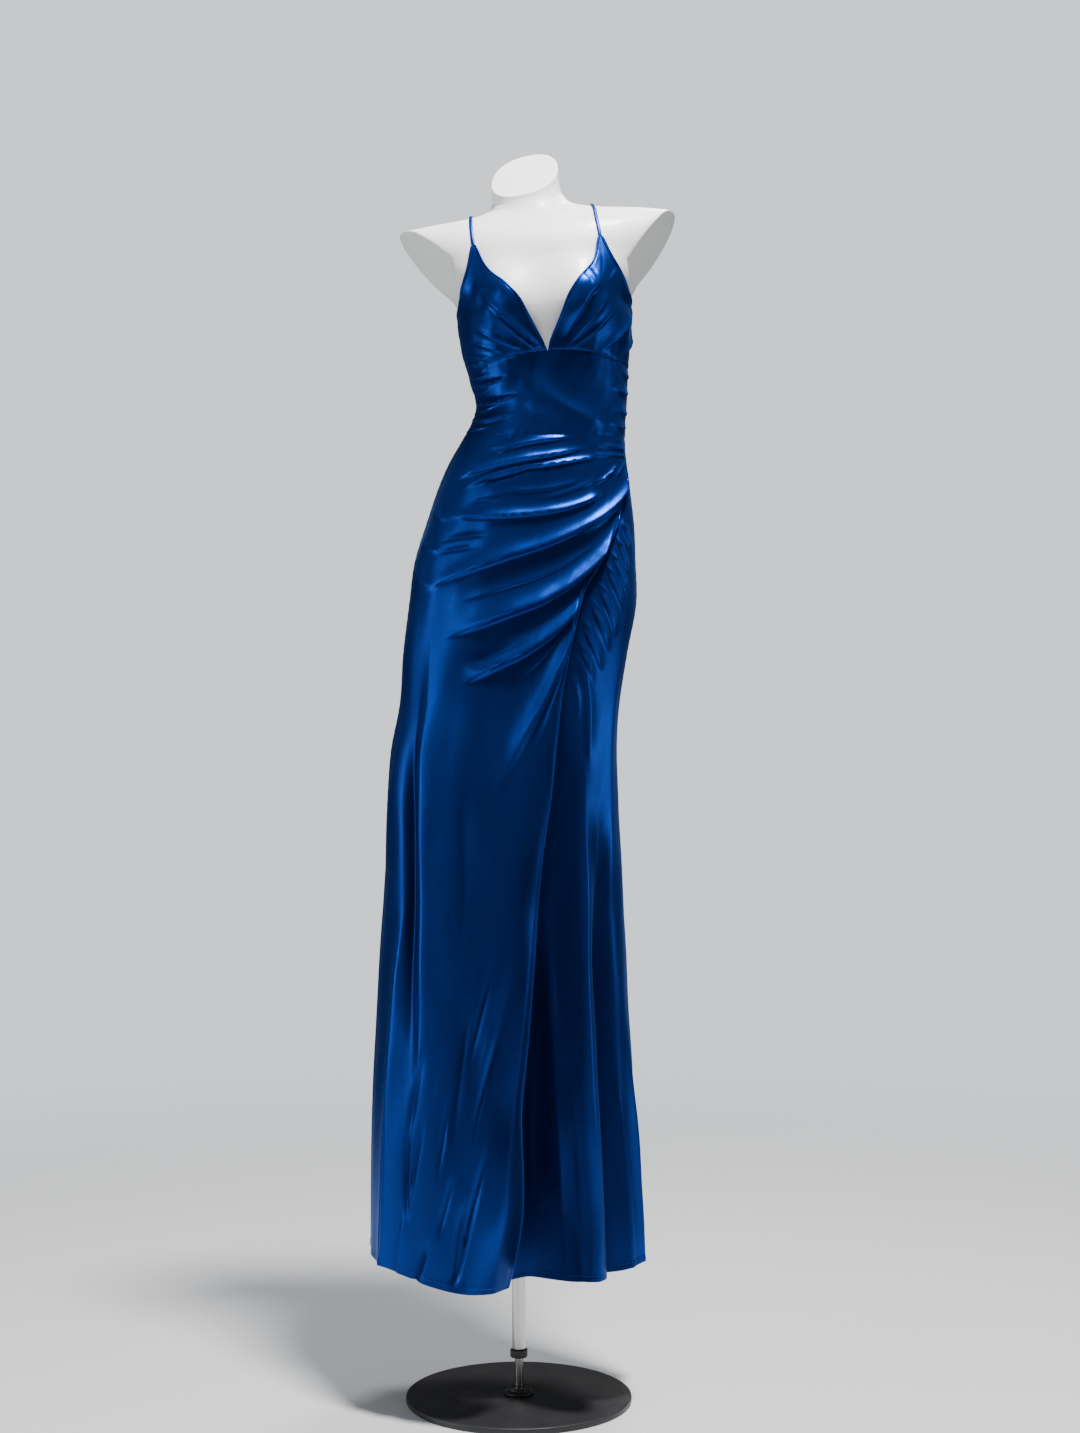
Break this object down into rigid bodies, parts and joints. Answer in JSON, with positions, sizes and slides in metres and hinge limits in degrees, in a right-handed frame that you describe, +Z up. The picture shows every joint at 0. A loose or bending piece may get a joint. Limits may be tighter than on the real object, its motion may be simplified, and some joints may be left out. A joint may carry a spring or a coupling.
{
  "type": "evening gown on a dress form with stand",
  "caption": "Floor-length satin evening gown with gathered cups, thin straps and a slit wrap skirt, on a limbless dress form that slides and swivels on a round-based stand.",
  "frame": {"origin": "centre of the base plate's underside, where the stand rests on the floor", "axes": "+Z up along the stand's pole, -Y the gown's front, +X the side on the right of someone facing the gown"},
  "size_m": [0.4381, 0.3377, 1.7815],
  "materials": {
    "satin": "royal blue satin with a soft sheen",
    "form_shell": "smooth white satin-gloss shell",
    "steel": "polished steel tube",
    "black_metal": "matte black powder coat",
    "zip_metal": "blue lacquered zip metal"
  },
  "bodies": {
    "stand": {"base_plate": "black_metal", "base_hub": "black_metal", "lower_rod": "steel"},
    "height_collar": {"collar": "black_metal"},
    "dressed_form": {"upper_tube": "steel", "form_socket": "steel", "dress_form": "form_shell", "cup_left": "satin", "cup_right": "satin", "bodice_front": "satin", "bodice_back_left": "satin", "bodice_back_right": "satin", "skirt_front_wrap": "satin", "skirt_front_under": "satin", "skirt_back_left": "satin", "skirt_back_right": "satin", "strap_left": "satin", "strap_right": "satin", "zip_slider": "zip_metal"},
    "zip_tab": {"zip_pull": "zip_metal"}
  },
  "joints": [
    {"name": "height_slide", "type": "slide", "parent": "stand", "child": "height_collar", "axis": [0, 0, 1], "range_m": [-0.04, 0.25]},
    {"name": "form_swivel", "type": "hinge", "parent": "height_collar", "child": "dressed_form", "pos_m": [0, 0, 0.073], "axis": [0, 0, 1], "continuous": true},
    {"name": "zip_tab_hinge", "type": "hinge", "parent": "dressed_form", "child": "zip_tab", "pos_m": [0.04569, 0.07736, 1.40659], "axis": [1, 0, 0], "range_deg": [0, 150]}
  ]
}
